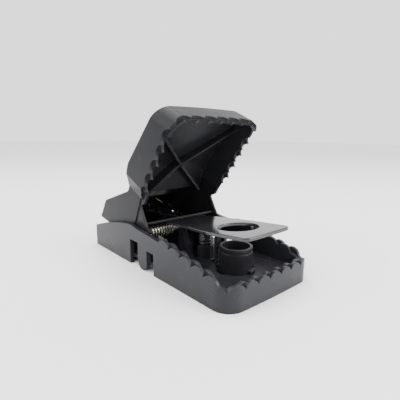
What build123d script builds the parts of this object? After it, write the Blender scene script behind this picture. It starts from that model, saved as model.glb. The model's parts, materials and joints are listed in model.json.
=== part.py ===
from build123d import *
import os
from math import cos, hypot, pi, radians, sin

# Snap mouse trap, set and ready: a toothed tray, a toothed jaw with a lever tail,
# a trigger plate over a bait cup, and the springs and pins that work them.
# Millimetres. +X points out of the mouth, +Z up, and the trap is symmetric about Y = 0.
# The origin is on the ground, in the middle of the trap's footprint.
# Side and plan sketches run from the rear edge of the tray and from the ground.

# ---- Overall size ----
LENGTH = 98.0
WIDTH = 48.0
FRONT_BOW = 0.6          # how far the front wall bulges at its middle
CORNER_R = 7.0           # plan radius of the front corners
REAR_R = 1.0

# ---- Walls and floor of the tray ----
ROW = 1.3                # thickness of one row of teeth
WALL = 1.9               # smooth wall behind the teeth
FLOOR_TOP = 4.2
FLOOR_THICK = 1.6
HUMP_START = 10.2        # wall height at the rear edge
HUMP_X, HUMP_Z = 35.5, 18.1
SHOULDER_X, SHOULDER_Z = 41.6, 17.2
TONGUE_X, TONGUE_HALF = 46.5, 3.5
NOTCH_REAR, NOTCH_REAR_TOP = 36.5, 11.3
NOTCH_FRONT, NOTCH_FRONT_TOP = 55.2, 9.3
CROSS_WALL_X, CROSS_WALL_THICK = 7.4, 1.6
CROSS_WALL_TOP, CROSS_WALL_HALF = 16.0, 19.4
SPINE_HALF = 0.8
SPINE_REAR, SPINE_FRONT = 8.5, 41.4
SPINE_REAR_TOP, SPINE_FRONT_TOP = 16.0, 18.9

# ---- Teeth ----
SIDE_PITCH = 6.7
SIDE_TEETH = 5
FIRST_VALLEY = 59.0
TOOTH_RISE = 2.2         # crest above its valleys
TOOTH_SLOPE = 0.2074     # how fast the side teeth come down towards the front
FRONT_PITCH = 6.3
FRONT_TEETH = 7
FRONT_VALLEY = 7.4       # height of the valleys in the front wall
MESH_GAP = 0.4           # left between the two sets of teeth when the jaw is shut
ROW_GAP = 0.25           # left beside each row of teeth for the row that passes it

# ---- Jaw pivot ----
PIVOT_X, PIVOT_Z = 41.0, 13.7
PIN_R = 1.5
PIN_HALF = 23.2
PIN_POCKET = 23.35       # half distance between the bottoms of the blind pin holes
RUN_CLEAR = 0.05         # radial running clearance on every pin
SET_ANGLE = 66.0         # swing from shut to set

# ---- Jaw shell, described shut ----
SKIN = 1.6
HUB_WALL = 1.6
HUB_HALF = 21.6          # half width of the part of the jaw that works inside the tray
HUB_R = 4.6
HUB_STEP = 0.5           # the hub's outer faces stand back this far from the lever's
STEP_Z = 19.3
TAPER_START, TAPER_END = 63.0, 57.0
MESH_START = 55.5        # room for the tray's teeth is cut in front of this
ROOF_FRONT = 19.7        # height of the roof over the front wall
APEX = (67.4, 31.3)
ROOT = (54.0, 30.1)
LEVER_TIP = (37.2, 48.7)
LEVER_HEEL = (25.4, 50.7)
LEVER_EDGE = (27.4, 43.0)
HUB_REAR = (36.6, 12.6)
EAR = ((46.8, 7.6), (47.0, 11.3), (49.2, 14.5), (52.8, 19.2), (55.5, 16.5), (58.0, 16.1))
APEX_R, ROOT_R, TIP_R, HEEL_R = 5.0, 4.0, 1.8, 0.8
SHOULDER_R = 1.0         # rounding of the roof and lever along both flanks and the front
RIB_THICK = 1.0
RIB_DEPTH = 5.0
RIB_DEPTH_FRONT = 3.0
RIB_CROSSING = 69.0      # where the diagonal ribs cross under the roof
RIB_ANGLE = 47.0
SEAR_R = 5.2             # radius of the catch bar about the jaw pivot
SEAR_BAR_R = 0.65
SEAR_ANGLE = 6.0         # direction of the catch bar above the pivot's horizontal

# ---- Trigger plate ----
TRIGGER_X, TRIGGER_Z = 49.0, 16.3
TRIGGER_TILT = 5.1
TRIGGER_PIN_R = 0.75
TRIGGER_PIN_HALF = 5.5
BARREL_R = 1.8
BARREL_HALF = 3.1
POST_IN, POST_THICK = 3.4, 1.8
POST_R = 1.45
POST_FOOT = 57.0
PLATE_UNDER = 1.72       # underside of the plate above the trigger pivot
PLATE_THICK = 1.3
PLATE_REAR = -3.2        # rear edge, measured from the trigger pivot
PLATE_FRONT = 45.9
PLATE_REAR_HALF = 10.5
PLATE_WIDE_AT, PLATE_WIDE_HALF = 26.0, 13.2
PLATE_FRONT_HALF = 12.9
PLATE_CORNER_R = 3.0
PLATE_HOLE_R = 8.2
PLATE_HOLE_AT = 30.4
PLATE_EDGE_R = 0.4
LEG_X, LEG_LONG, LEG_WIDE = 67.9, 1.5, 2.5
LEG_BOTTOM = 4.6
SLOT_REAR, SLOT_FRONT, SLOT_WIDE = 64.25, 69.6, 3.8

# ---- Bait cup ----
CUP_X = 78.3
CUP_R = 6.6
CUP_WALL = 1.0
CUP_TOP = 14.2
CUP_FLOOR = 3.2
GROOVE_Z, GROOVE_HIGH, GROOVE_DEEP = 12.1, 0.7, 0.3
FLANGE_R, FLANGE_BOTTOM, FLANGE_TOP = 8.5, 0.9, 2.45
LUG_R, LUG_BOTTOM, LUG_TOP = 7.9, 4.35, 5.4
LUG_SWEEP = 36.0         # degrees
LUG_AT = 20.0            # direction of the first lug, degrees from +X
ENTRY_AT = 75.0          # direction of the notch that lets the first lug through
CUP_CLEAR = 0.15
COIN_LONG, COIN_WIDE, COIN_DEEP = 10.0, 1.6, 1.2

# ---- Springs ----
WIRE_R = 0.65
COIL_R = 2.95
COIL_PITCH = 1.5
COIL_START = 5.75
COIL_TURNS = 8
UPPER_LEG, UPPER_RISE = 27.0, 16.7     # length and slope of the leg under the lever
LOWER_LEG, LOWER_DROP = 29.8, 11.2     # length and slope of the leg on the tray
RETURN_X = 60.4
RETURN_R = 3.25
RETURN_WIRE_R = 0.3
RETURN_TURNS = 6
RETURN_TOP = 18.6
BOSS_R = 3.5
BOSS_TOP = 9.8
STUB_R, STUB_TOP = 2.3, 11.6

REAR_EDGE = (-LENGTH / 2, 0, 0)
PLAN = Plane(origin=REAR_EDGE, x_dir=(1, 0, 0), z_dir=(0, 0, 1))
SIDE = Plane(origin=REAR_EDGE, x_dir=(1, 0, 0), z_dir=(0, -1, 0))
END = Plane(origin=REAR_EDGE, x_dir=(0, 1, 0), z_dir=(1, 0, 0))
REACH = 80.0             # longer than any cut needs to be
PIVOT = (PIVOT_X, PIVOT_Z)
TRIGGER_PIVOT = (TRIGGER_X, TRIGGER_Z)

os.makedirs("parts", exist_ok=True)


def swung(plane):
    """The same plane after the shut jaw has been swung open about its pin."""
    pivot = Location((PIVOT_X - LENGTH / 2, 0, PIVOT_Z))
    turn = Location((0, 0, 0), (0, -SET_ANGLE, 0))
    return Plane(pivot * turn * pivot.inverse() * plane.location)


def tooth_line(x):
    """Height of the valleys of the side teeth at a distance from the rear edge."""
    return FRONT_VALLEY + TOOTH_SLOPE * (LENGTH - x)


def draw_teeth(valleys):
    """Round-topped teeth between neighbouring valleys, drawn into the open BuildLine."""
    for (x0, z0), (x1, z1) in zip(valleys, valleys[1:]):
        ThreePointArc((x0, z0), ((x0 + x1) / 2, (z0 + z1) / 2 + TOOTH_RISE), (x1, z1))


def side_valleys(inner, lift):
    """Valley points of one row of side teeth; the inner row is half a pitch behind the outer one."""
    first = FIRST_VALLEY - SIDE_PITCH / 2 if inner else FIRST_VALLEY
    xs = [first + SIDE_PITCH * i for i in range(SIDE_TEETH + 1)]
    return [(x, tooth_line(x) + lift) for x in xs]


def front_valleys(inner, lift):
    """Valley points of one row of front teeth, from the near side to the far side."""
    teeth = FRONT_TEETH - 1 if inner else FRONT_TEETH
    return [(FRONT_PITCH * (i - teeth / 2), FRONT_VALLEY + lift) for i in range(teeth + 1)]


def below_side_teeth(inner, lift):
    """Everything below a row of side teeth, with the smooth hump behind it."""
    valleys = side_valleys(inner, lift)
    corner = (LENGTH - CORNER_R / 2, FRONT_VALLEY + lift)
    with BuildSketch() as face:
        with BuildLine():
            Line((0, 0), (0, HUMP_START + lift))
            ThreePointArc((0, HUMP_START + lift), (18, 15.2 + lift), (HUMP_X, HUMP_Z + lift))
            ThreePointArc((HUMP_X, HUMP_Z + lift), (38.6, 17.9 + lift), (SHOULDER_X, SHOULDER_Z + lift))
            Line((SHOULDER_X, SHOULDER_Z + lift), valleys[0])
            draw_teeth(valleys)
            Polyline(valleys[-1], corner, (LENGTH + 4, corner[1]), (LENGTH + 4, 0), (0, 0))
        make_face()
    return face.sketch


def below_front_teeth(inner, lift):
    """Everything below a row of front teeth."""
    valleys = front_valleys(inner, lift)
    edge = WIDTH / 2 + 4
    with BuildSketch() as face:
        with BuildLine():
            Polyline((edge, valleys[-1][1]), (edge, 0), (-edge, 0), (-edge, valleys[0][1]), valleys[0])
            draw_teeth(valleys)
            Line(valleys[-1], (edge, valleys[-1][1]))
        make_face()
    return face.sketch


def tray_outline(inset):
    """Plan outline of the tray: a bowed front wall between two rounded corners."""
    half = WIDTH / 2 - inset
    front = LENGTH - inset
    with BuildSketch() as face:
        with BuildLine():
            Polyline((front - FRONT_BOW, -half), (inset, -half), (inset, half), (front - FRONT_BOW, half))
            ThreePointArc((front - FRONT_BOW, half), (front, 0), (front - FRONT_BOW, -half))
        make_face()
        fillet(face.vertices().group_by(Axis.X)[-1], CORNER_R - inset)
        if inset < REAR_R:
            fillet(face.vertices().group_by(Axis.X)[0], REAR_R - inset)
    return face.sketch


def jaw_outline(inset):
    """Plan outline of the shut jaw: as wide as the tray in front, narrow enough behind to work in it."""
    half = WIDTH / 2 - inset
    hub = HUB_HALF - inset
    front = LENGTH - inset
    with BuildSketch() as face:
        with BuildLine():
            Polyline(
                (front - FRONT_BOW, half), (TAPER_START, half), (TAPER_END, hub), (0, hub),
                (0, -hub), (TAPER_END, -hub), (TAPER_START, -half), (front - FRONT_BOW, -half),
            )
            ThreePointArc((front - FRONT_BOW, half), (front, 0), (front - FRONT_BOW, -half))
        make_face()
        fillet(face.vertices().group_by(Axis.X)[-1], CORNER_R - inset)
    return face.sketch


def front_zone(spread):
    """The part of the plan whose teeth face forwards, split from the flanks through the corners."""
    near = WIDTH / 2 - CORNER_R
    back = LENGTH - FRONT_BOW - CORNER_R - spread
    with BuildSketch() as face:
        with BuildLine():
            Polyline(
                (back, -near), (back + 2 * CORNER_R, -near - 2 * CORNER_R),
                (back + 2 * CORNER_R, near + 2 * CORNER_R), (back, near), close=True,
            )
        make_face()
    return face.sketch


def tooth_row(planes, start, outer, inner_inset, inner, lift, spread=0.0):
    """A band of wall between two insets of the plan, as high as one row of teeth.

    With a spread, the flanks and the front overlap by that much at the corners.
    """
    plan, side, end = planes
    with BuildSketch() as band:
        add(tray_outline(outer))
        add(tray_outline(inner_inset), mode=Mode.SUBTRACT)
        with Locations((start, 0)):
            Rectangle(LENGTH, REACH, align=(Align.MAX, Align.CENTER), mode=Mode.SUBTRACT)
    with BuildPart() as flanks:
        with BuildSketch(side):
            add(below_side_teeth(inner, lift))
        extrude(amount=REACH / 2, both=True)
        with BuildSketch(plan):
            add(band.sketch)
            add(front_zone(-spread), mode=Mode.SUBTRACT)
        extrude(amount=REACH, mode=Mode.INTERSECT)
    with BuildPart() as front:
        with BuildSketch(end):
            add(below_front_teeth(inner, lift))
        extrude(amount=LENGTH + CORNER_R)
        with BuildSketch(plan):
            add(band.sketch)
            add(front_zone(spread), mode=Mode.INTERSECT)
        extrude(amount=REACH, mode=Mode.INTERSECT)
    return [flanks.part, front.part]


def inset_chain(points, gap):
    """A run of straight lines moved to its right by a gap, keeping its corners."""
    moved = []
    for (x0, z0), (x1, z1) in zip(points, points[1:]):
        size = hypot(x1 - x0, z1 - z0)
        nx, nz = (z1 - z0) / size * gap, -(x1 - x0) / size * gap
        moved.append(((x0 + nx, z0 + nz), (x1 + nx, z1 + nz)))
    chain = [moved[0][0]]
    for (a, b), (c, d) in zip(moved, moved[1:]):
        rx, rz = b[0] - a[0], b[1] - a[1]
        sx, sz = d[0] - c[0], d[1] - c[1]
        t = ((c[0] - a[0]) * sz - (c[1] - a[1]) * sx) / (rx * sz - rz * sx)
        chain.append((a[0] + t * rx, a[1] + t * rz))
    return chain + [moved[-1][1]]


def roof_at(x):
    """Height of the shut jaw's roof line in front of its apex."""
    return ROOF_FRONT + (APEX[1] - ROOF_FRONT) * (LENGTH - x) / (LENGTH - APEX[0])


def lug_shape(direction, clear, sweep_angle):
    """Plan of one bayonet lug about the bait cup's axis."""
    half = radians(sweep_angle / 2)
    middle = radians(direction)
    with BuildSketch() as face:
        with Locations((CUP_X, 0)):
            Circle(LUG_R + clear)
        Polygon(
            (CUP_X, 0),
            (CUP_X + 2 * LUG_R * cos(middle - half), 2 * LUG_R * sin(middle - half)),
            (CUP_X + 2 * LUG_R * cos(middle + half), 2 * LUG_R * sin(middle + half)),
            align=None, mode=Mode.INTERSECT,
        )
    return face.sketch


CLOSED = (PLAN, SIDE, END)
OPEN_PLAN, OPEN_SIDE, OPEN_END = OPEN = tuple(swung(plane) for plane in CLOSED)
BEYOND = LENGTH + 3
ROOF_END = (BEYOND, roof_at(BEYOND))

# ---- Base tray ----
with BuildPart() as base_tray:
    add(tooth_row(CLOSED, 0, 0, ROW, False, 0))
    add(tooth_row(CLOSED, FIRST_VALLEY - 2, ROW, 2 * ROW, True, 0))
    # smooth wall round the rear bay, thicker than one row
    with BuildSketch(SIDE):
        add(below_side_teeth(False, 0))
        with Locations((FIRST_VALLEY, 0)):
            Rectangle(LENGTH, REACH, align=(Align.MIN, Align.CENTER), mode=Mode.SUBTRACT)
    extrude(amount=WIDTH / 2 - REAR_R, both=True)
    with BuildSketch(PLAN):
        with Locations((WALL, 0)):
            Rectangle(FIRST_VALLEY, WIDTH - 2 * WALL, align=(Align.MIN, Align.CENTER))
    extrude(amount=REACH, mode=Mode.SUBTRACT)
    # floor, cross wall that closes the gap under the lever, and the spine that backs the jaw's pin
    with BuildSketch(PLAN.offset(FLOOR_TOP - FLOOR_THICK)):
        add(tray_outline(ROW))
    extrude(amount=FLOOR_THICK)
    with BuildSketch(SIDE):
        with Locations((CROSS_WALL_X, FLOOR_TOP - FLOOR_THICK)):
            Rectangle(CROSS_WALL_THICK, CROSS_WALL_TOP - FLOOR_TOP + FLOOR_THICK, align=(Align.MIN, Align.MIN))
    extrude(amount=CROSS_WALL_HALF, both=True)
    with BuildSketch(SIDE):
        Polygon(
            (SPINE_REAR, FLOOR_TOP - FLOOR_THICK), (SPINE_FRONT, FLOOR_TOP - FLOOR_THICK),
            (SPINE_FRONT, SPINE_FRONT_TOP), (SPINE_REAR, SPINE_REAR_TOP), align=None,
        )
    extrude(amount=SPINE_HALF, both=True)
    # posts that hold the trigger's pin
    for inner_face in (POST_IN, -POST_IN - POST_THICK):
        with BuildSketch(SIDE.offset(inner_face)):
            with Locations(TRIGGER_PIVOT):
                Circle(POST_R)
            Polygon(
                (TRIGGER_X - POST_R, FLOOR_TOP - 0.5), (POST_FOOT, FLOOR_TOP - 0.5),
                (POST_FOOT, FLOOR_TOP), (TRIGGER_X + POST_R, TRIGGER_Z),
                (TRIGGER_X - POST_R, TRIGGER_Z), align=None,
            )
        extrude(amount=POST_THICK)
    # boss and stub under the return spring
    with BuildSketch(PLAN.offset(FLOOR_TOP - 0.5)):
        with Locations((RETURN_X, 0)):
            Circle(BOSS_R)
    extrude(amount=BOSS_TOP - FLOOR_TOP + 0.5)
    with BuildSketch(PLAN.offset(BOSS_TOP - 0.5)):
        with Locations((RETURN_X, 0)):
            Circle(STUB_R)
    extrude(amount=STUB_TOP - BOSS_TOP + 0.5)
    # hole for the bait cup with its two entry notches, and the slot for the trigger's leg
    with BuildSketch(PLAN):
        with Locations((CUP_X, 0)):
            Circle(CUP_R + CUP_CLEAR)
        with Locations(((SLOT_REAR + SLOT_FRONT) / 2, 0)):
            RectangleRounded(SLOT_FRONT - SLOT_REAR, SLOT_WIDE, SLOT_WIDE / 8)
        for turn in (0, 180):
            add(lug_shape(ENTRY_AT + turn, CUP_CLEAR, LUG_SWEEP + 4))
    extrude(amount=FLOOR_TOP + 0.2, mode=Mode.SUBTRACT)
    # notches under both flanks, with a round-ended tongue between them
    for plane, depth in ((SIDE.offset(WIDTH / 2 - WALL), WALL + 1), (SIDE.offset(WALL - WIDTH / 2), -WALL - 1)):
        with BuildSketch(plane):
            with Locations((NOTCH_REAR, -1)):
                Rectangle(TONGUE_X - NOTCH_REAR, NOTCH_REAR_TOP + 1, align=(Align.MIN, Align.MIN))
            with Locations((NOTCH_FRONT, -1)):
                Rectangle(NOTCH_FRONT - TONGUE_X, NOTCH_FRONT_TOP + 1, align=(Align.MAX, Align.MIN))
            with Locations((TONGUE_X, TONGUE_HALF)):
                Circle(TONGUE_HALF, mode=Mode.SUBTRACT)
                Rectangle(2 * TONGUE_HALF, REACH, align=(Align.CENTER, Align.MIN), mode=Mode.SUBTRACT)
        extrude(amount=depth, mode=Mode.SUBTRACT)
    # blind holes for the jaw's pin and holes for the trigger's pin
    with BuildSketch(SIDE):
        with Locations(PIVOT):
            Circle(PIN_R + RUN_CLEAR)
    extrude(amount=PIN_POCKET, both=True, mode=Mode.SUBTRACT)
    with BuildSketch(SIDE):
        with Locations(TRIGGER_PIVOT):
            Circle(TRIGGER_PIN_R + RUN_CLEAR)
    extrude(amount=TRIGGER_PIN_HALF, both=True, mode=Mode.SUBTRACT)

# ---- Upper jaw ----
inner_roof = inset_chain([LEVER_HEEL, LEVER_TIP, ROOT, APEX, ROOF_END], SKIN)
tip_line = [(x, tooth_line(x) + MESH_GAP) for x in (FIRST_VALLEY, BEYOND)]

with BuildPart() as jaw_hollow:
    with BuildSketch(OPEN_SIDE):
        Polygon(*inner_roof, (BEYOND, -2), (0, -2), (0, LEVER_EDGE[1]), align=None)
    extrude(amount=REACH / 2, both=True)
    with BuildSketch(OPEN_PLAN):
        add(jaw_outline(2 * ROW))
        with Locations((0, 0)):
            Rectangle(TAPER_END + 2, 2 * (HUB_HALF - HUB_WALL), align=(Align.MIN, Align.CENTER))
    extrude(amount=REACH, mode=Mode.INTERSECT)

with BuildPart() as jaw_ribs:
    with BuildSketch(OPEN_SIDE):
        Polygon(
            ROOT, APEX, (LENGTH, ROOF_FRONT), (LENGTH, ROOF_FRONT - SKIN - RIB_DEPTH_FRONT),
            (APEX[0], APEX[1] - SKIN - RIB_DEPTH), (ROOT[0], ROOT[1] - SKIN - RIB_DEPTH), align=None,
        )
    extrude(amount=REACH / 2, both=True)
    with BuildSketch(OPEN_PLAN):
        with Locations(Location((RIB_CROSSING, 0), RIB_ANGLE), Location((RIB_CROSSING, 0), -RIB_ANGLE)):
            Rectangle(LENGTH, RIB_THICK)
        add(jaw_outline(ROW), mode=Mode.INTERSECT)
    extrude(amount=REACH, mode=Mode.INTERSECT)

with BuildPart() as upper_jaw:
    with BuildSketch(OPEN_SIDE) as profile:
        with BuildLine():
            Polyline(LEVER_EDGE, LEVER_HEEL, LEVER_TIP, ROOT, APEX, ROOF_END)
            Polyline(ROOF_END, tip_line[1], tip_line[0], *reversed(EAR), HUB_REAR, LEVER_EDGE)
        make_face()
        for corner, radius in ((APEX, APEX_R), (ROOT, ROOT_R), (LEVER_TIP, TIP_R), (LEVER_HEEL, HEEL_R)):
            fillet(profile.vertices().sort_by_distance((*corner, 0))[0], radius)
        with Locations(PIVOT):
            Circle(HUB_R)
    extrude(amount=REACH / 2, both=True)
    with BuildSketch(OPEN_PLAN):
        add(jaw_outline(0))
    extrude(amount=REACH, mode=Mode.INTERSECT)
    # rounded shoulders where the flanks and the front meet the roof and the lever
    upward = OPEN_PLAN.z_dir
    tops = upper_jaw.faces().filter_by(lambda f: f.normal_at().dot(upward) > 0.2)
    rims = tops.edges().filter_by(lambda e: sum(e in top.edges() for top in tops) == 1)
    fillet(rims, SHOULDER_R)
    add(jaw_hollow.part, mode=Mode.SUBTRACT)
    add(jaw_ribs.part)
    # room for both rows of the tray's teeth
    outer_band = (-1, ROW + ROW_GAP)
    inner_band = (ROW - ROW_GAP, 2 * ROW + ROW_GAP)
    add(tooth_row(OPEN, MESH_START, *outer_band, False, MESH_GAP, ROW_GAP), mode=Mode.SUBTRACT)
    add(tooth_row(OPEN, MESH_START, *inner_band, True, MESH_GAP, ROW_GAP), mode=Mode.SUBTRACT)
    # the hub's faces stand back from the lever's, so a step runs across each flank
    for plane, depth in (
        (OPEN_SIDE.offset(HUB_HALF - HUB_STEP), HUB_WALL), (OPEN_SIDE.offset(HUB_STEP - HUB_HALF), -HUB_WALL),
    ):
        with BuildSketch(plane):
            with Locations((TAPER_END, STEP_Z)):
                Rectangle(TAPER_END, REACH / 2, align=(Align.MAX, Align.MAX))
        extrude(amount=depth, mode=Mode.SUBTRACT)
    # catch bar just above the pin
    with BuildSketch(OPEN_SIDE):
        with Locations(PIVOT):
            with PolarLocations(SEAR_R, 1, start_angle=SEAR_ANGLE):
                Circle(SEAR_BAR_R)
    extrude(amount=HUB_HALF - HUB_WALL / 2, both=True)
    with BuildSketch(SIDE):
        with Locations(PIVOT):
            Circle(PIN_R + RUN_CLEAR)
    extrude(amount=WIDTH, both=True, mode=Mode.SUBTRACT)

# ---- Trigger plate ----
tilt = radians(TRIGGER_TILT)
trigger_plane = Plane(
    origin=(TRIGGER_X - LENGTH / 2, 0, TRIGGER_Z), x_dir=(cos(tilt), 0, sin(tilt)), z_dir=(-sin(tilt), 0, cos(tilt)),
)
with BuildPart() as trigger_plate:
    with BuildSketch(trigger_plane.offset(PLATE_UNDER)) as plate:
        with BuildLine():
            Polyline(
                (PLATE_FRONT, -PLATE_FRONT_HALF), (PLATE_WIDE_AT, -PLATE_WIDE_HALF),
                (PLATE_REAR + 4, -PLATE_REAR_HALF), (PLATE_REAR, -PLATE_REAR_HALF),
                (PLATE_REAR, PLATE_REAR_HALF), (PLATE_REAR + 4, PLATE_REAR_HALF),
                (PLATE_WIDE_AT, PLATE_WIDE_HALF), (PLATE_FRONT, PLATE_FRONT_HALF),
            )
            ThreePointArc(
                (PLATE_FRONT, PLATE_FRONT_HALF), (PLATE_FRONT + FRONT_BOW / 2, 0), (PLATE_FRONT, -PLATE_FRONT_HALF),
            )
        make_face()
        fillet(plate.vertices().group_by(Axis.X)[-1], PLATE_CORNER_R)
        with Locations((PLATE_HOLE_AT, 0)):
            Circle(PLATE_HOLE_R, mode=Mode.SUBTRACT)
    extrude(amount=PLATE_THICK)
    upwards = Axis(trigger_plane.origin, trigger_plane.z_dir)
    fillet(trigger_plate.faces().sort_by(upwards)[-1].edges(), PLATE_EDGE_R)
    # barrel with its web
    with BuildSketch(Plane(trigger_plane.origin, x_dir=trigger_plane.x_dir, z_dir=(0, -1, 0))):
        Circle(BARREL_R)
        Rectangle(2 * BARREL_R, PLATE_UNDER + PLATE_THICK / 2, align=(Align.CENTER, Align.MIN))
    extrude(amount=BARREL_HALF, both=True)
    with BuildSketch(Plane(trigger_plane.origin, x_dir=trigger_plane.x_dir, z_dir=(0, -1, 0))):
        Circle(TRIGGER_PIN_R + RUN_CLEAR)
    extrude(amount=BARREL_HALF + 1, both=True, mode=Mode.SUBTRACT)
    # guide leg that drops through the floor slot
    with BuildSketch(PLAN.offset(LEG_BOTTOM)):
        with Locations((LEG_X, 0)):
            Rectangle(LEG_LONG, LEG_WIDE)
    extrude(until=Until.NEXT)

# ---- Bait cup ----
with BuildPart() as bait_cup:
    with BuildSketch(Plane(origin=(CUP_X - LENGTH / 2, 0, 0), x_dir=(1, 0, 0), z_dir=(0, -1, 0))):
        with Locations((0, FLANGE_BOTTOM)):
            Rectangle(CUP_R, CUP_TOP - FLANGE_BOTTOM, align=(Align.MIN, Align.MIN))
            Rectangle(FLANGE_R, FLANGE_TOP - FLANGE_BOTTOM, align=(Align.MIN, Align.MIN))
        with Locations((0, CUP_FLOOR)):
            Rectangle(CUP_R - CUP_WALL, CUP_TOP, align=(Align.MIN, Align.MIN), mode=Mode.SUBTRACT)
        with Locations((CUP_R - GROOVE_DEEP, GROOVE_Z)):
            Rectangle(GROOVE_DEEP, GROOVE_HIGH, align=(Align.MIN, Align.MIN), mode=Mode.SUBTRACT)
    revolve(axis=Axis((CUP_X - LENGTH / 2, 0, 0), (0, 0, 1)))
    with BuildSketch(PLAN.offset(LUG_BOTTOM)):
        for turn in (0, 180):
            add(lug_shape(LUG_AT + turn, 0, LUG_SWEEP))
        with Locations((CUP_X, 0)):
            Circle(CUP_R - CUP_WALL / 2, mode=Mode.SUBTRACT)
    extrude(amount=LUG_TOP - LUG_BOTTOM)
    with BuildSketch(PLAN.offset(FLANGE_BOTTOM)):
        with Locations((CUP_X, 0)):
            RectangleRounded(COIN_LONG, COIN_WIDE, COIN_WIDE / 4)
    extrude(amount=COIN_DEEP, mode=Mode.SUBTRACT)

# ---- Pins ----
with BuildPart() as pivot_pin:
    with BuildSketch(SIDE):
        with Locations(PIVOT):
            Circle(PIN_R)
    extrude(amount=PIN_HALF, both=True)

with BuildPart() as trigger_pin:
    with BuildSketch(SIDE):
        with Locations(TRIGGER_PIVOT):
            Circle(TRIGGER_PIN_R)
    extrude(amount=TRIGGER_PIN_HALF, both=True)


# ---- Springs ----
def torsion_spring(side):
    """Coil round the jaw's pin with one leg under the lever and one on the tray."""
    upper = radians(90 - UPPER_RISE)
    sweep_turns = COIL_TURNS + (180 - UPPER_RISE - LOWER_DROP) / 360
    climb = COIL_PITCH / (2 * pi * COIL_R)
    turned = radians(360 * sweep_turns)
    end = (COIL_R * cos(turned), COIL_R * sin(turned), COIL_PITCH * sweep_turns)
    coil_plane = Plane(
        origin=(PIVOT_X - LENGTH / 2, COIL_START, PIVOT_Z), x_dir=(cos(upper), 0, sin(upper)), z_dir=(0, 1, 0),
    )
    foot = (end[0] - LOWER_LEG * sin(turned), end[1] + LOWER_LEG * cos(turned), end[2] + LOWER_LEG * climb)
    with BuildLine() as wire:
        Line((COIL_R, -UPPER_LEG, -UPPER_LEG * climb), (COIL_R, 0, 0))
        Helix(COIL_PITCH, COIL_PITCH * sweep_turns, COIL_R)
        Line(end, foot)
    path = wire.wire().moved(coil_plane.location)
    with BuildPart() as spring:
        with BuildSketch(Plane(origin=path @ 0, z_dir=path % 0)):
            Circle(WIRE_R)
        sweep(path=path)
    return spring.part if side > 0 else mirror(spring.part, about=Plane.XZ)


with BuildPart() as torsion_spring_far:
    add(torsion_spring(1))

with BuildPart() as torsion_spring_near:
    add(torsion_spring(-1))

with BuildPart() as return_spring:
    high = RETURN_TOP - BOSS_TOP - 2 * RETURN_WIRE_R - 0.05
    foot = (RETURN_X - LENGTH / 2, 0, BOSS_TOP + RETURN_WIRE_R + 0.05)
    with BuildLine() as turns:
        Helix(high / RETURN_TURNS, high, RETURN_R - RETURN_WIRE_R, center=foot)
    with BuildSketch(Plane(origin=turns.wire() @ 0, z_dir=turns.wire() % 0)):
        Circle(RETURN_WIRE_R)
    sweep(path=turns.wire())

PIECES = {
    "base_tray": base_tray,
    "upper_jaw": upper_jaw,
    "trigger_plate": trigger_plate,
    "trigger_pin": trigger_pin,
    "bait_cup": bait_cup,
    "pivot_pin": pivot_pin,
    "torsion_spring_near": torsion_spring_near,
    "torsion_spring_far": torsion_spring_far,
    "return_spring": return_spring,
}
for name, piece in PIECES.items():
    piece.part.label = name
    export_step(piece.part, f"parts/{name}.step")
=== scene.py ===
import json
from math import cos, radians, sin

import bpy
from mathutils import Matrix, Vector


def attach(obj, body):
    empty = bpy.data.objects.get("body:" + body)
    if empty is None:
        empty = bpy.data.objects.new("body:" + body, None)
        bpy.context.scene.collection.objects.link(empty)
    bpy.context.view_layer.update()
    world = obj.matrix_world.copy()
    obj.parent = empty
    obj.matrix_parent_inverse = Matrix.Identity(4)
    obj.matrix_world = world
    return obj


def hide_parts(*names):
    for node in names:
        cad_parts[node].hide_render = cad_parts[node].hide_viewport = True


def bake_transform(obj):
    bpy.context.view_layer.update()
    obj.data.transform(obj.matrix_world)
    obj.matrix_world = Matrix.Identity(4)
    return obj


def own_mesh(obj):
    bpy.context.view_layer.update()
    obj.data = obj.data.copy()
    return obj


# Looks for the snap mouse trap: moulded black plastic, a glossy trigger plate and spring wire.
# Metres, in the frame's own axes: +X out of the mouth, +Z up.

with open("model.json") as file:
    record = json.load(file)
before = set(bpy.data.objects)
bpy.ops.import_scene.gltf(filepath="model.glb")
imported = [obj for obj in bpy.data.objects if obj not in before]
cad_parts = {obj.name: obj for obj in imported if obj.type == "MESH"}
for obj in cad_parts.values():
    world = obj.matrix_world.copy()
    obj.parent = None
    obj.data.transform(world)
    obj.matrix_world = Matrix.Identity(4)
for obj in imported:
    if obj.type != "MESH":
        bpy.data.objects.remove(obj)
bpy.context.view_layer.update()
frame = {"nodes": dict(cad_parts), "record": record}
nodes = frame["nodes"]

# ---- Sizes ----
MM = 0.001
EDGE_RADIUS = 0.35 * MM      # softened look of every moulded edge
GRAIN_DEPTH = 0.05 * MM      # bump height of the moulded plastic's texture
DRAW_DEPTH = 0.03 * MM       # bump height of the draw lines on the wire
FLOOR_SIZE = 6.0
CARD_DISTANCE, CARD_HEIGHT, CARD_SIZE = 0.5, 0.25, 0.5

# ---- Camera ----
AZIMUTH, ELEVATION, ROLL = 48.97, 10.99, 0.54
CAMERA_DISTANCE = 0.14467
CAMERA_TARGET = (0.00723, 0.0, 0.02915)
LENS = 29.7
SENSOR = 36.0


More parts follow.
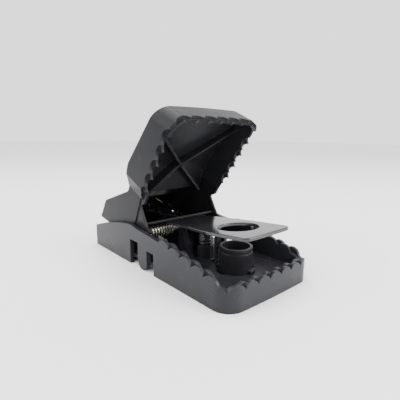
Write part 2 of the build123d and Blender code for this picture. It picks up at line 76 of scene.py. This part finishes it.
class Material:
    """A node material under construction, with short helpers for its nodes."""

    def __init__(self, name):
        self.material = bpy.data.materials.new(name)
        self.material.use_nodes = True
        self.tree = self.material.node_tree
        self.tree.nodes.clear()
        self.output = self.tree.nodes.new("ShaderNodeOutputMaterial")
        self.shader = self.tree.nodes.new("ShaderNodeBsdfPrincipled")
        self.tree.links.new(self.shader.outputs["BSDF"], self.output.inputs["Surface"])
        self.coordinates = self.tree.nodes.new("ShaderNodeTexCoord").outputs["Object"]

    def link(self, source, target):
        self.tree.links.new(source, target)

    def noise(self, scale, detail=4.0, roughness=0.55, stretch=(1, 1, 1)):
        """Noise in object space; scale is in features per metre."""
        mapping = self.tree.nodes.new("ShaderNodeMapping")
        mapping.inputs["Scale"].default_value = stretch
        self.link(self.coordinates, mapping.inputs["Vector"])
        node = self.tree.nodes.new("ShaderNodeTexNoise")
        node.inputs["Scale"].default_value = scale
        node.inputs["Detail"].default_value = detail
        node.inputs["Roughness"].default_value = roughness
        self.link(mapping.outputs["Vector"], node.inputs["Vector"])
        return node.outputs["Fac"]

    def ramp(self, value, low, high, start, end):
        """value from low..high mapped to start..end, clamped."""
        node = self.tree.nodes.new("ShaderNodeMapRange")
        node.inputs["From Min"].default_value = low
        node.inputs["From Max"].default_value = high
        node.inputs["To Min"].default_value = start
        node.inputs["To Max"].default_value = end
        self.link(value, node.inputs["Value"])
        return node.outputs["Result"]

    def math(self, operation, a, b):
        """a and b are sockets or numbers."""
        node = self.tree.nodes.new("ShaderNodeMath")
        node.operation = operation
        for socket, value in zip(node.inputs, (a, b)):
            if isinstance(value, (int, float)):
                socket.default_value = value
            else:
                self.link(value, socket)
        return node.outputs["Value"]

    def mix(self, factor, first, second):
        """Colour mix; first and second are sockets or RGB triples."""
        node = self.tree.nodes.new("ShaderNodeMix")
        node.data_type = "RGBA"
        self.link(factor, node.inputs[0])
        for socket, value in ((node.inputs[6], first), (node.inputs[7], second)):
            if isinstance(value, tuple):
                socket.default_value = (*value, 1.0)
            else:
                self.link(value, socket)
        return node.outputs[2]

    def edges(self, radius):
        """Softened normal of the moulded edges, and a mask that is 1 on them."""
        bevel = self.tree.nodes.new("ShaderNodeBevel")
        bevel.samples = 6
        bevel.inputs["Radius"].default_value = radius
        geometry = self.tree.nodes.new("ShaderNodeNewGeometry")
        dot = self.tree.nodes.new("ShaderNodeVectorMath")
        dot.operation = "DOT_PRODUCT"
        self.link(bevel.outputs["Normal"], dot.inputs[0])
        self.link(geometry.outputs["Normal"], dot.inputs[1])
        return bevel.outputs["Normal"], self.ramp(dot.outputs["Value"], 0.99, 0.75, 0.0, 1.0)

    def bump(self, height, strength, distance, normal=None):
        node = self.tree.nodes.new("ShaderNodeBump")
        node.inputs["Strength"].default_value = strength
        node.inputs["Distance"].default_value = distance
        self.link(height, node.inputs["Height"])
        if normal is not None:
            self.link(normal, node.inputs["Normal"])
        return node.outputs["Normal"]


def moulded_plastic(name, colour, worn, roughness, gloss, texture, dust, edge_wear):
    """Moulded plastic: fine spark texture, flow streaks, rubbed edges and a little dust in the open."""
    m = Material(name)
    softened, edge = m.edges(EDGE_RADIUS)
    grain = m.noise(2600, 3.0)
    flow = m.noise(38, 5.0, 0.6, stretch=(0.35, 1.0, 1.0))
    patches = m.noise(90, 6.0, 0.65)
    scratches = m.noise(420, 2.0, 0.5, stretch=(0.08, 1.0, 1.0))
    mottled = m.mix(m.ramp(flow, 0.35, 0.7, 0.0, 1.0), colour, tuple(1.35 * c for c in colour))
    dusty = m.mix(m.ramp(patches, 0.55, 0.8, 0.0, dust), mottled, (0.33, 0.32, 0.31))
    scuffed = m.mix(m.ramp(scratches, 0.7, 0.78, 0.0, 0.22), dusty, worn)
    rubbed = m.math("MULTIPLY", edge, m.ramp(patches, 0.35, 0.65, 0.25 * edge_wear, edge_wear))
    m.link(m.mix(rubbed, scuffed, worn), m.shader.inputs["Base Color"])
    rough = m.math("ADD", m.ramp(patches, 0.3, 0.7, roughness - 0.05, roughness + 0.07),
                   m.ramp(scratches, 0.68, 0.78, 0.0, 0.1))
    m.link(rough, m.shader.inputs["Roughness"])
    height = m.math("ADD", m.math("MULTIPLY", grain, 0.6), m.math("MULTIPLY", scratches, 0.25))
    m.link(m.bump(height, texture, GRAIN_DEPTH, softened), m.shader.inputs["Normal"])
    m.shader.inputs["Specular IOR Level"].default_value = gloss
    return m.material


def steel_wire(name, colour, stain, roughness, stretch):
    """Drawn spring wire: fine draw lines, oil stain and a few dull spots."""
    m = Material(name)
    lines = m.noise(1500, 2.0, 0.5, stretch=stretch)
    spots = m.noise(260, 5.0, 0.6)
    tint = m.mix(m.ramp(spots, 0.5, 0.72, 0.0, 0.7), colour, stain)
    m.link(tint, m.shader.inputs["Base Color"])
    m.link(m.ramp(spots, 0.3, 0.7, roughness, roughness + 0.16), m.shader.inputs["Roughness"])
    m.link(m.bump(lines, 0.25, DRAW_DEPTH), m.shader.inputs["Normal"])
    m.shader.inputs["Metallic"].default_value = 1.0
    return m.material


WORN = (0.11, 0.11, 0.115)      # plastic where it is rubbed or scuffed
# plastics: colour, worn colour, roughness, gloss, texture, dust, edge wear
# wires: colour, stain, roughness, stretch of the draw lines
LOOKS = {
    "tray_plastic": moulded_plastic("tray plastic", (0.015, 0.015, 0.018), WORN, 0.30, 0.18, 0.35, 0.05, 0.5),
    "jaw_plastic": moulded_plastic("jaw plastic", (0.013, 0.013, 0.015), WORN, 0.33, 0.08, 0.35, 0.04, 0.5),
    "plate_plastic": moulded_plastic(
        "plate plastic", (0.016, 0.016, 0.018), WORN, 0.14, 0.55, 0.10, 0.06, 0.3
    ),
    "cup_plastic": moulded_plastic("cup plastic", (0.011, 0.011, 0.013), WORN, 0.36, 0.20, 0.35, 0.02, 0.3),
    "pin_steel": steel_wire("pin steel", (0.42, 0.42, 0.43), (0.22, 0.20, 0.18), 0.24, (1.0, 0.05, 1.0)),
    "spring_steel": steel_wire("spring steel", (0.40, 0.38, 0.34), (0.14, 0.11, 0.08), 0.18, (1.0, 0.2, 1.0)),
    "return_spring_steel": steel_wire(
        "return spring steel", (0.16, 0.16, 0.17), (0.07, 0.06, 0.05), 0.24, (1.0, 1.0, 0.2)
    ),
}
for entry in frame["record"]["subparts"]:
    node = nodes[entry["node"]]
    node.data.materials.clear()
    node.data.materials.append(LOOKS[entry["material_slot"]])


# ---- Spring wire stand-ins ----
def stand_in(node_name, name):
    """A copy of a spring's wire, put in place of the original part, which is hidden."""
    piece = bpy.data.objects.new(name, nodes[node_name].data.copy())
    bpy.context.scene.collection.objects.link(piece)
    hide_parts(node_name)
    return piece


for side in ("near", "far"):
    spring = stand_in(f"torsion_spring_{side}", f"torsion_wire_{side}")
    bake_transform(spring)

return_wire = stand_in("return_spring", "return_wire")
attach(return_wire, "tray")
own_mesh(return_wire)

# ---- Stage ----
bpy.ops.mesh.primitive_plane_add(size=FLOOR_SIZE, location=(0, 0, 0))
floor = bpy.context.object
floor.name = "pale floor"
paper = Material("pale paper")
fibre = paper.noise(900, 3.0)
paper.link(paper.mix(paper.ramp(fibre, 0.3, 0.7, 0.0, 1.0), (0.86, 0.86, 0.86), (0.9, 0.9, 0.9)),
           paper.shader.inputs["Base Color"])
paper.shader.inputs["Roughness"].default_value = 0.7
floor.data.materials.append(paper.material)

world = bpy.data.worlds.new("studio")
bpy.context.scene.world = world
world.use_nodes = True
world.node_tree.nodes["Background"].inputs["Color"].default_value = (1.0, 1.0, 1.0, 1.0)
world.node_tree.nodes["Background"].inputs["Strength"].default_value = 1.9


def soft_light(name, position, size, power):
    """A square soft box aimed at the trap."""
    data = bpy.data.lights.new(name, "AREA")
    data.shape = "SQUARE"
    data.size = size
    data.energy = power
    lamp = bpy.data.objects.new(name, data)
    bpy.context.scene.collection.objects.link(lamp)
    lamp.location = position
    lamp.rotation_euler = (Vector(CAMERA_TARGET) - Vector(position)).to_track_quat("-Z", "Y").to_euler()


# positions and sizes in metres, powers in watts
soft_light("key", (-0.25, -0.45, 0.35), 0.4, 2.0)
soft_light("fill", (0.5, 0.3, 0.3), 0.4, 5.0)
soft_light("top", (-0.1, 0.0, 0.6), 0.5, 4.0)

# an upright dark card on the photograph's side of the trap keeps reflections in the plastic deep
bpy.ops.mesh.primitive_plane_add(size=1.0)
card = bpy.context.object
card.name = "dark card"
card_azimuth = radians(AZIMUTH)
card.location = (CARD_DISTANCE * sin(card_azimuth), -CARD_DISTANCE * cos(card_azimuth), CARD_HEIGHT)
card.rotation_euler = (radians(90), 0, card_azimuth)
card.scale = (CARD_SIZE, CARD_SIZE, 1.0)
felt = Material("black felt")
felt.link(felt.mix(felt.noise(300), (0.004, 0.004, 0.004), (0.008, 0.008, 0.008)),
          felt.shader.inputs["Base Color"])
felt.shader.inputs["Roughness"].default_value = 0.9
card.data.materials.append(felt.material)
card.visible_camera = False
card.visible_shadow = False
card.visible_diffuse = False

# ---- Camera ----
azimuth, elevation, roll = radians(AZIMUTH), radians(ELEVATION), radians(ROLL)
back = Vector((sin(azimuth) * cos(elevation), -cos(azimuth) * cos(elevation), sin(elevation)))
level = Vector((0, 0, 1)).cross(back).normalized()
upright = back.cross(level)
right = level * cos(roll) + upright * sin(roll)
up = upright * cos(roll) - level * sin(roll)
camera_data = bpy.data.cameras.new("camera")
camera_data.lens = LENS
camera_data.sensor_width = SENSOR
camera_data.clip_start = 0.005
camera = bpy.data.objects.new("camera", camera_data)
bpy.context.scene.collection.objects.link(camera)
turn = Matrix((right, up, back)).transposed().to_4x4()
camera.matrix_world = Matrix.Translation(Vector(CAMERA_TARGET) + back * CAMERA_DISTANCE) @ turn
bpy.context.scene.camera = camera
